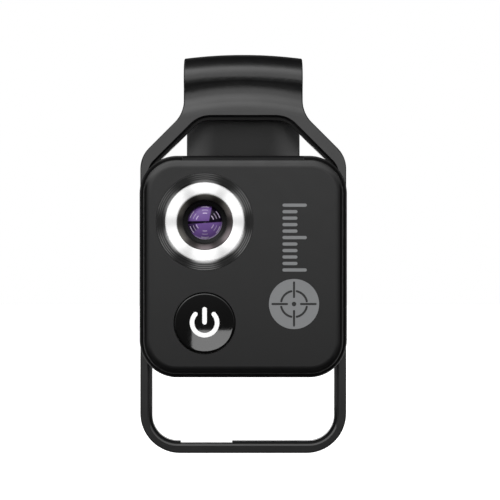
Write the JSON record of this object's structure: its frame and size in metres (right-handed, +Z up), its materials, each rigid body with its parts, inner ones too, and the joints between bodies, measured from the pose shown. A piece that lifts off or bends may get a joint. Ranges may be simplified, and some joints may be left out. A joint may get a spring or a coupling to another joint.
{
  "type": "clip-on phone microscope lens",
  "caption": "Pocket microscope lens with a light ring and power button, on a sprung clip that hooks over a phone's edge; the lens module slides in the clip's loop.",
  "frame": {"origin": "on the clip's centre line, halfway up the clip, in the plane of the loop's rear face where the phone's glass rests", "axes": "+X to the right seen from the lens side, +Y from the lens side through to the phone, +Z up to the bend that hooks over the phone's edge"},
  "size_m": [0.0414, 0.0265, 0.0808],
  "materials": {
    "clip_plastic": "moulded, fine satin texture",
    "housing_plastic": "moulded, fine matte texture",
    "bezel_black": "black, turned concentric grooves",
    "barrel_black": "black anodised",
    "diffuser_white": "translucent white",
    "coated_glass": "violet coated optical glass",
    "clear_glass": "clear optical glass",
    "button_gloss": "polished black",
    "soft_rubber": "soft silicone, matte",
    "screw_steel": "blackened steel",
    "socket_steel": "nickel plated",
    "board_green": "lacquered fibreglass board",
    "chip_black": "moulded epoxy",
    "lamp_white": "white lamp with yellow phosphor",
    "battery_foil": "silver pouch",
    "tape_foam": "double-sided foam tape"
  },
  "bodies": {
    "clip": {"clip_frame": "clip_plastic", "jaw_pad": "soft_rubber"},
    "module": {"main_housing": "housing_plastic", "front_cover": "housing_plastic", "back_cover": "housing_plastic", "housing_screws": "screw_steel", "bezel_ring": "bezel_black", "light_ring": "diffuser_white", "lens_barrel": "barrel_black", "lens_retainer": "barrel_black", "objective_lens": "coated_glass", "lens_spacer": "barrel_black", "second_lens": "coated_glass", "aperture_stop": "barrel_black", "rear_window": "clear_glass", "eyepiece_pad": "soft_rubber", "led_board": "board_green", "leds": "lamp_white", "main_board": "board_green", "board_chips": "chip_black", "switch_body": "chip_black", "charge_socket": "socket_steel", "socket_tongue": "chip_black", "battery": "battery_foil", "battery_tape": "tape_foam"},
    "button": {"power_button": "button_gloss", "switch_plunger": "chip_black"}
  },
  "joints": [
    {"name": "module_slide", "type": "slide", "parent": "clip", "child": "module", "axis": [0, 0, 1], "range_m": [-0.0152, 0.003]},
    {"name": "button_press", "type": "slide", "parent": "module", "child": "button", "axis": [0, 1, 0], "range_m": [0, 0.00035], "stiffness_N_per_m": 1500}
  ]
}
